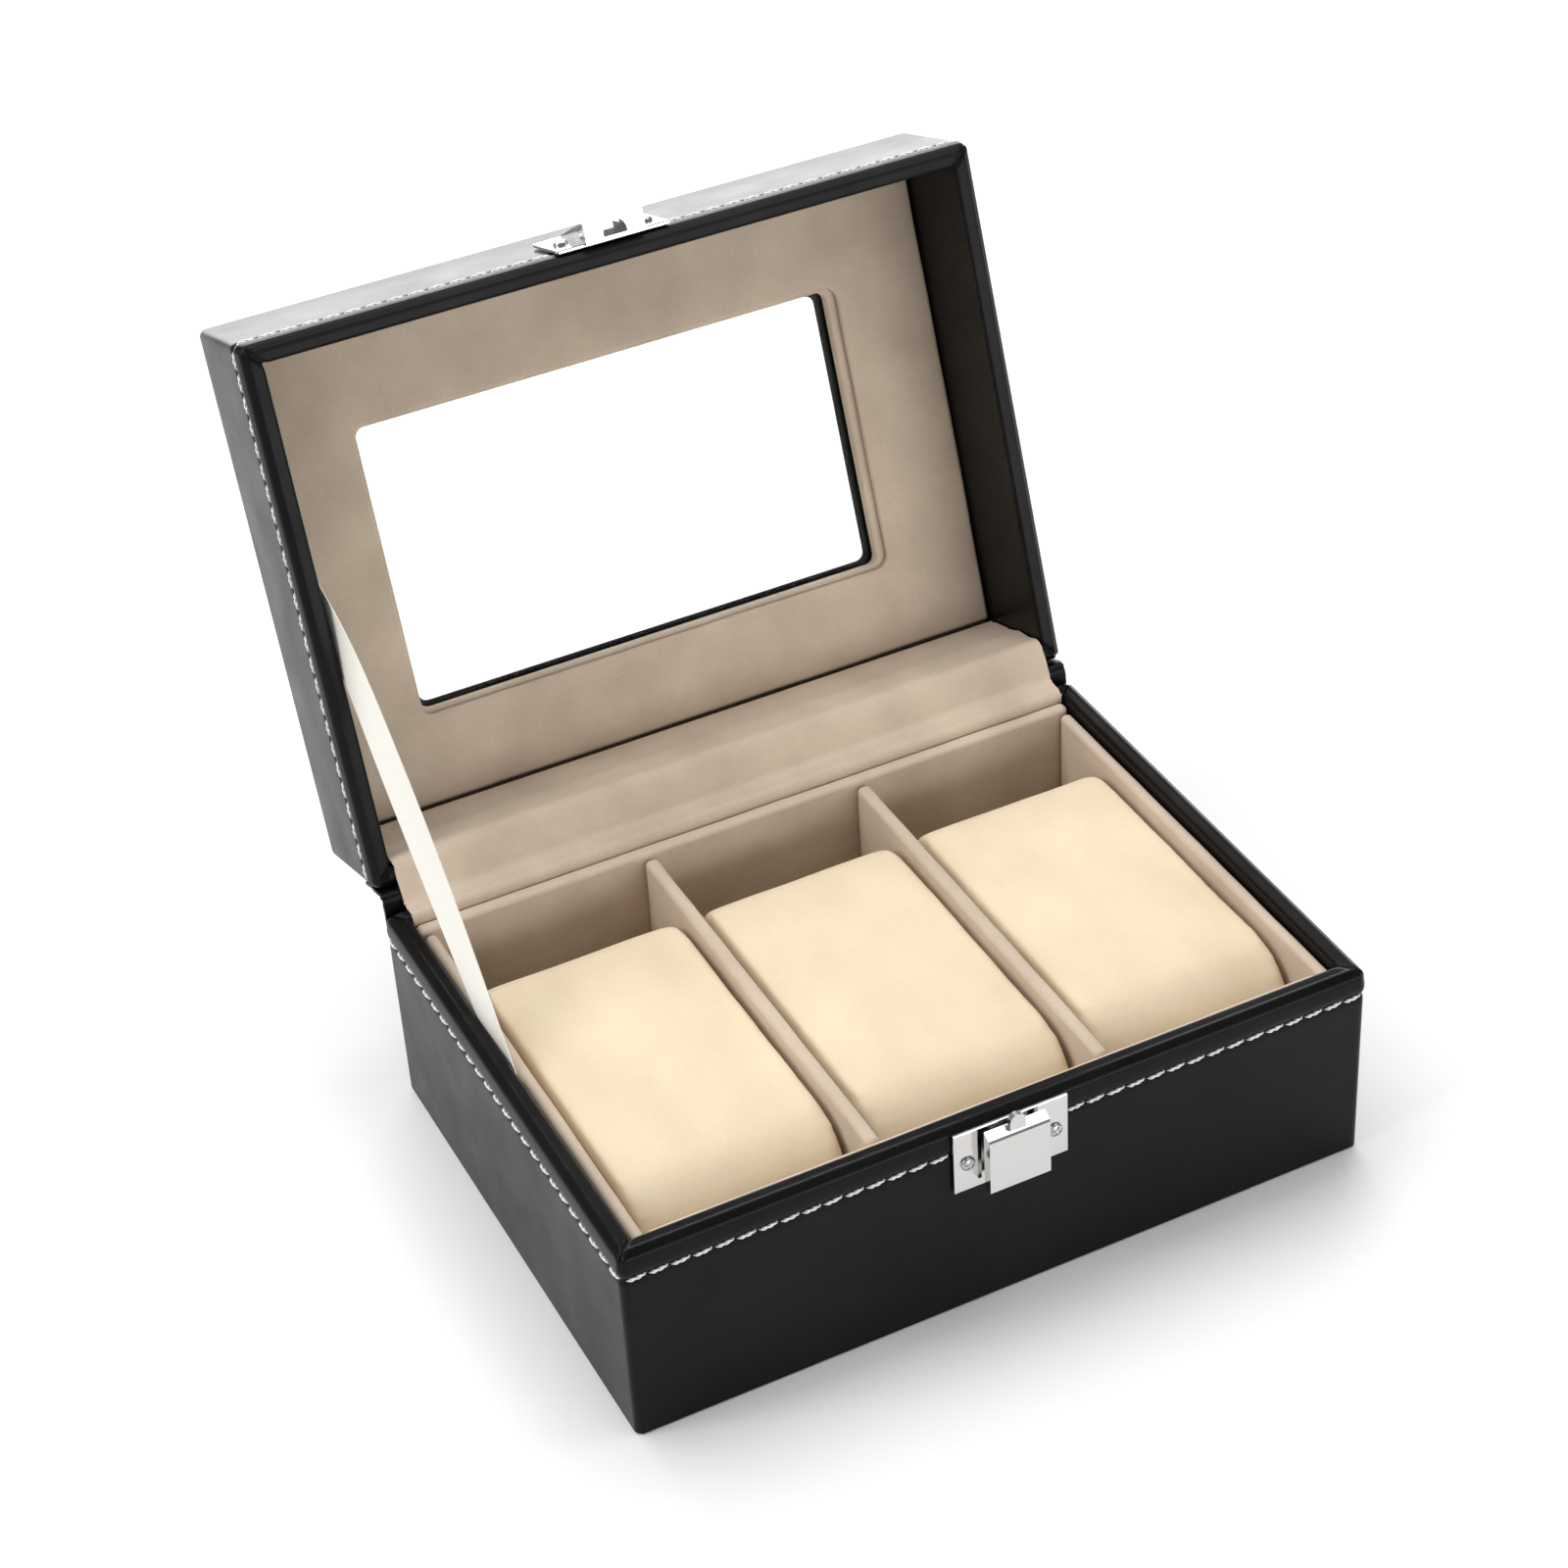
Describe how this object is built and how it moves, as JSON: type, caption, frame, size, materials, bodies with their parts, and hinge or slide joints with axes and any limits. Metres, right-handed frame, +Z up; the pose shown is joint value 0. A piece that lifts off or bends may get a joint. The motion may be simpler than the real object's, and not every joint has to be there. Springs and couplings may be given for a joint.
{
  "type": "watch box",
  "caption": "Hinged leather-covered watch box with a window in its lid, velvet compartments, lift-out watch pillows, a ribbon stay and a push-button clasp.",
  "frame": {"origin": "middle of the box's underside, on the surface it stands on", "axes": "+Z up, -Y towards the clasp at the front, +X to the right as seen from the front; the lid opens towards +Y"},
  "size_m": [0.16, 0.1864, 0.1622],
  "materials": {
    "leather": "smooth black leather with a satin gloss",
    "velvet": "short beige velvet",
    "pillow_velvet": "soft cream velvet over foam",
    "board": "plain fibreboard",
    "underside": "matt black felt sheet",
    "chrome": "polished plating",
    "screw_steel": "bright steel",
    "glass": "clear polished",
    "satin": "ivory satin ribbon"
  },
  "bodies": {
    "base": {"base_underside": "underside", "base_floor_board": "board", "base_front_board": "board", "base_back_board": "board", "base_left_board": "board", "base_right_board": "board", "base_leather": "leather", "floor_velvet": "velvet", "liner_front": "velvet", "liner_back": "velvet", "liner_left": "velvet", "liner_right": "velvet", "divider_left": "velvet", "divider_right": "velvet", "clasp_base_plate": "chrome", "clasp_base_screw_left": "screw_steel", "clasp_base_screw_right": "screw_steel", "clasp_spring": "screw_steel", "hinge_leather": "leather", "hinge_velvet": "velvet", "stay_ribbon": "satin"},
    "lid": {"lid_front_board": "board", "lid_back_board": "board", "lid_left_board": "board", "lid_right_board": "board", "lid_top_board": "board", "lid_leather": "leather", "lid_lining": "velvet", "lid_back_velvet": "velvet", "window_bead": "velvet", "window_glass": "glass", "clasp_lid_plate": "chrome", "clasp_lid_screw_left": "screw_steel", "clasp_lid_screw_right": "screw_steel"},
    "clasp_button": {"clasp_button": "chrome"},
    "pillow_left": {"pillow_left": "pillow_velvet"},
    "pillow_middle": {"pillow_middle": "pillow_velvet"},
    "pillow_right": {"pillow_right": "pillow_velvet"}
  },
  "joints": [
    {"name": "lid_hinge", "type": "hinge", "parent": "base", "child": "lid", "pos_m": [0, 0.0594, 0.047], "axis": [-1, 0, 0], "range_deg": [-109, 0], "deforming": ["hinge_leather", "hinge_velvet", "stay_ribbon"]},
    {"name": "clasp_button_press", "type": "slide", "parent": "base", "child": "clasp_button", "axis": [0, 1, 0], "range_m": [0, 0.001], "stiffness_N_per_m": 300, "deforming": ["clasp_spring"]},
    {"name": "pillow_left_lift", "type": "slide", "parent": "base", "child": "pillow_left", "axis": [0, 0, 1], "range_m": [0, 0.06]},
    {"name": "pillow_middle_lift", "type": "slide", "parent": "base", "child": "pillow_middle", "axis": [0, 0, 1], "range_m": [0, 0.06]},
    {"name": "pillow_right_lift", "type": "slide", "parent": "base", "child": "pillow_right", "axis": [0, 0, 1], "range_m": [0, 0.06]}
  ]
}
